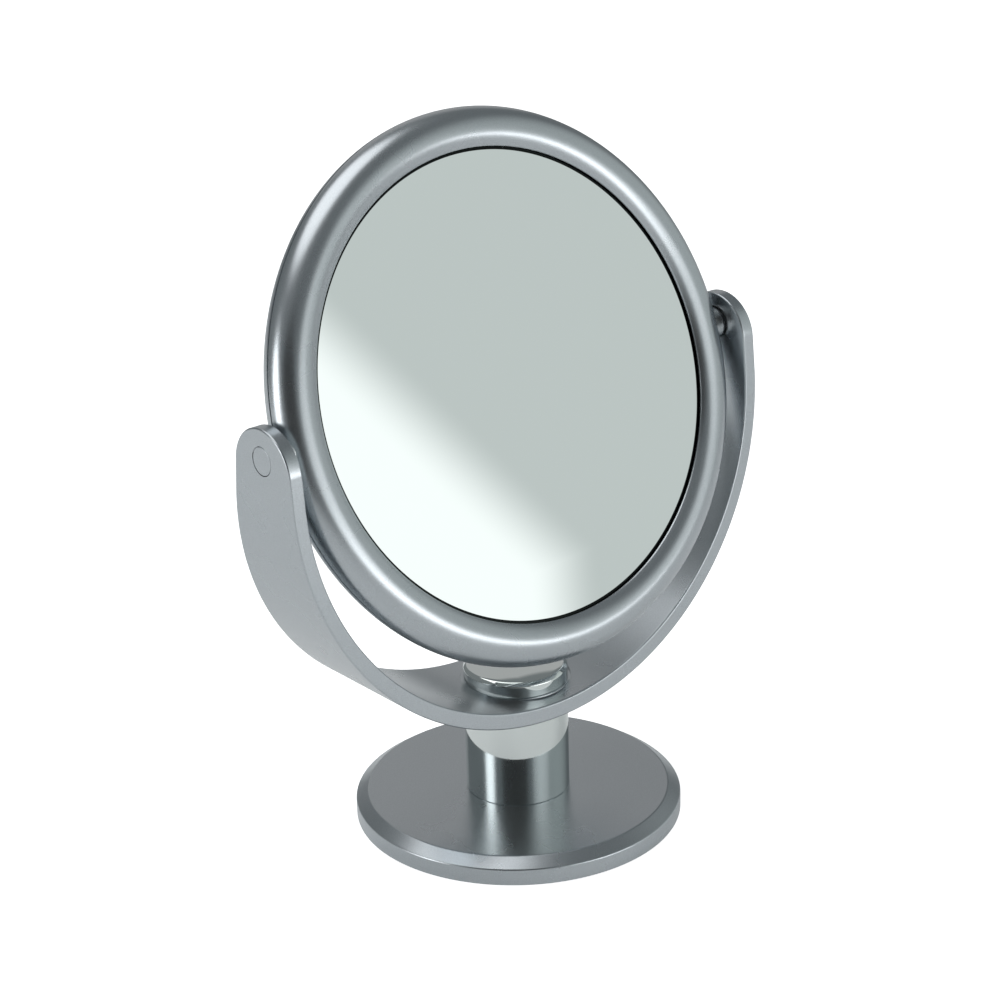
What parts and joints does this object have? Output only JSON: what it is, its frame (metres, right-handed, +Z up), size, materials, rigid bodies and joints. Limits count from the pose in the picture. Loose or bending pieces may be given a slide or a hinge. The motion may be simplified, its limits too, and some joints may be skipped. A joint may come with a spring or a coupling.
{
  "type": "free-standing shaving mirror",
  "caption": "Round two-sided mirror that tilts in a tapering U-shaped yoke on a short bright post and a weighted round foot.",
  "frame": {"origin": "middle of the foot's underside, on the surface the mirror stands on", "axes": "+Z up, the flat glass faces -Y (leaning back 20 degrees), the pivot axis lies along X"},
  "size_m": [0.182, 0.104, 0.2236],
  "materials": {
    "satin_nickel": "satin metallic paint with a fine grain",
    "bright_chrome": "polished chrome plate",
    "bush_metal": "turned and polished",
    "mirror_glass": "silvered float glass",
    "cast_weight": "raw casting",
    "pad_rubber": "fine matt foam rubber",
    "plated_steel": "zinc plated",
    "brass_insert": "turned",
    "black_nylon": "moulded",
    "white_foam": "soft closed-cell foam"
  },
  "bodies": {
    "stand": {"base_cover": "satin_nickel", "base_weight": "cast_weight", "base_pad": "pad_rubber", "weight_screws": "plated_steel", "tie_bolt": "plated_steel", "flat_washer": "plated_steel", "lock_washer": "plated_steel", "post_tube": "bright_chrome", "lower_plug": "black_nylon", "upper_plug": "black_nylon", "yoke": "satin_nickel", "cap": "bright_chrome", "cap_nut": "brass_insert", "cap_washer": "black_nylon", "left_pivot_pin": "satin_nickel", "right_pivot_pin": "satin_nickel", "friction_washers": "black_nylon", "wave_washers": "plated_steel"},
    "head": {"front_rim": "satin_nickel", "rear_rim": "satin_nickel", "flat_glass": "mirror_glass", "magnifying_glass": "mirror_glass", "spacer_ring": "black_nylon", "front_foam_ring": "white_foam", "rear_foam_ring": "white_foam", "left_pivot_bush": "bush_metal", "right_pivot_bush": "bush_metal"}
  },
  "joints": [
    {"name": "head_tilt", "type": "hinge", "parent": "stand", "child": "head", "pos_m": [0, 0, 0.1433], "axis": [1, 0, 0], "continuous": true}
  ]
}
